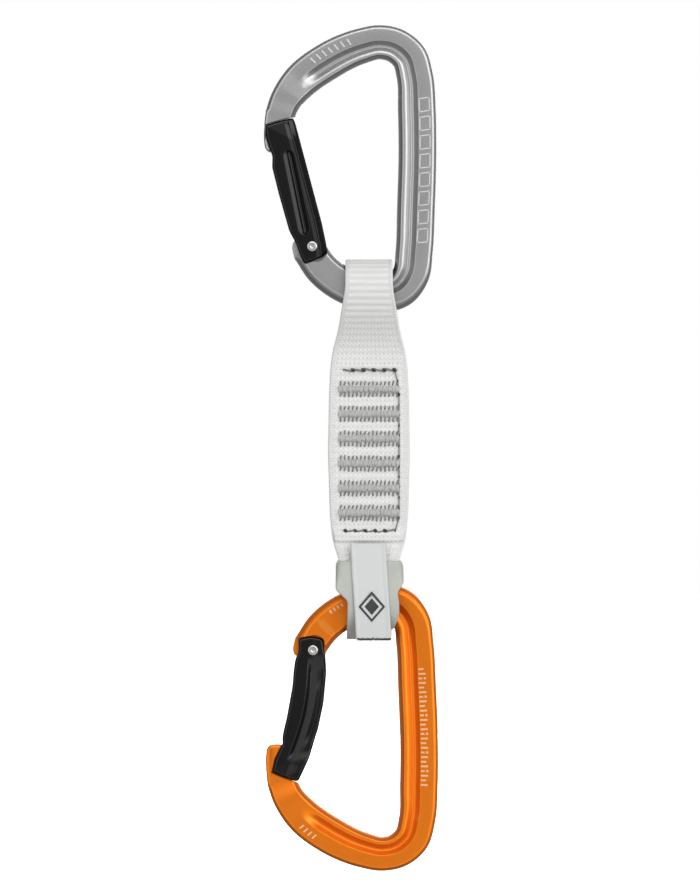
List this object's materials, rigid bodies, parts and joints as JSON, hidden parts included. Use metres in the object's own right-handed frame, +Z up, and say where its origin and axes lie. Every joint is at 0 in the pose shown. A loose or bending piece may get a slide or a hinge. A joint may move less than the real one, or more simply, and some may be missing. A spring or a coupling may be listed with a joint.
{
  "type": "climbing quickdraw",
  "caption": "Climbing quickdraw: a straight-gate and a bent-gate carabiner with sprung keylock gates, joined by a sewn webbing sling with a rubber keeper.",
  "frame": {"origin": "inside of the upper carabiner's top basket, where the anchor bears", "axes": "+Z up along the hanging quickdraw, X across the carabiners towards their spines, Y through their thickness with the front at -Y"},
  "size_m": [0.0566, 0.0224, 0.2746],
  "materials": {
    "bare_aluminium": "satin, tumbled",
    "orange_anodised": "satin anodised",
    "black_anodised": "gloss anodised",
    "steel": "bright",
    "webbing": "woven",
    "grey_thread": "thread",
    "dark_thread": "thread",
    "pale_rubber": "satin",
    "grey_ribbon": "satin ribbon"
  },
  "bodies": {
    "anchor_side": {"upper_frame": "bare_aluminium", "upper_gate_rivet": "steel"},
    "upper_gate": {"upper_gate": "black_anodised", "upper_gate_spring": "steel"},
    "upper_plunger": {"upper_gate_plunger": "steel"},
    "sling": {"sling_webbing": "webbing", "sling_inner_ply": "webbing", "bar_tack_1": "grey_thread", "bar_tack_2": "grey_thread", "bar_tack_3": "grey_thread", "bar_tack_4": "grey_thread", "bar_tack_5": "grey_thread", "bar_tack_6": "grey_thread", "edge_stitch_front": "dark_thread", "edge_stitch_back": "dark_thread", "keeper": "pale_rubber", "woven_label": "grey_ribbon"},
    "rope_side": {"lower_frame": "orange_anodised", "lower_gate_rivet": "steel"},
    "lower_gate": {"lower_gate": "black_anodised", "lower_gate_spring": "steel"},
    "lower_plunger": {"lower_gate_plunger": "steel"}
  },
  "joints": [
    {"name": "upper_gate_hinge", "type": "hinge", "parent": "anchor_side", "child": "upper_gate", "pos_m": [-0.0209, 0, -0.0609], "axis": [0, 1, 0], "range_deg": [0, 32], "stiffness_Nm_per_rad": 0.25, "springref_deg": -22.92},
    {"name": "upper_plunger_slide", "type": "slide", "parent": "upper_gate", "child": "upper_plunger", "axis": [-0.2555, 0, 0.9668], "range_m": [0, 0.00112]},
    {"name": "sling_swing", "type": "hinge", "parent": "anchor_side", "child": "sling", "pos_m": [-0.00235, 0, -0.0746], "axis": [1, 0, 0], "range_deg": [-90, 90]},
    {"name": "rope_side_swing", "type": "hinge", "parent": "sling", "child": "rope_side", "pos_m": [-0.00235, 0, -0.1777], "axis": [1, 0, 0], "range_deg": [-20, 20]},
    {"name": "lower_gate_hinge", "type": "hinge", "parent": "rope_side", "child": "lower_gate", "pos_m": [-0.02063, 0, -0.19188], "axis": [0, -1, 0], "range_deg": [0, 32], "stiffness_Nm_per_rad": 0.25, "springref_deg": -22.92},
    {"name": "lower_plunger_slide", "type": "slide", "parent": "lower_gate", "child": "lower_plunger", "axis": [-0.1149, 0, -0.9934], "range_m": [0, 0.00112]}
  ],
  "couplings": [
    {"joint": "upper_plunger_slide", "follows": "upper_gate_hinge", "m_per_rad": 0.00197},
    {"joint": "lower_plunger_slide", "follows": "lower_gate_hinge", "m_per_rad": 0.00197}
  ]
}
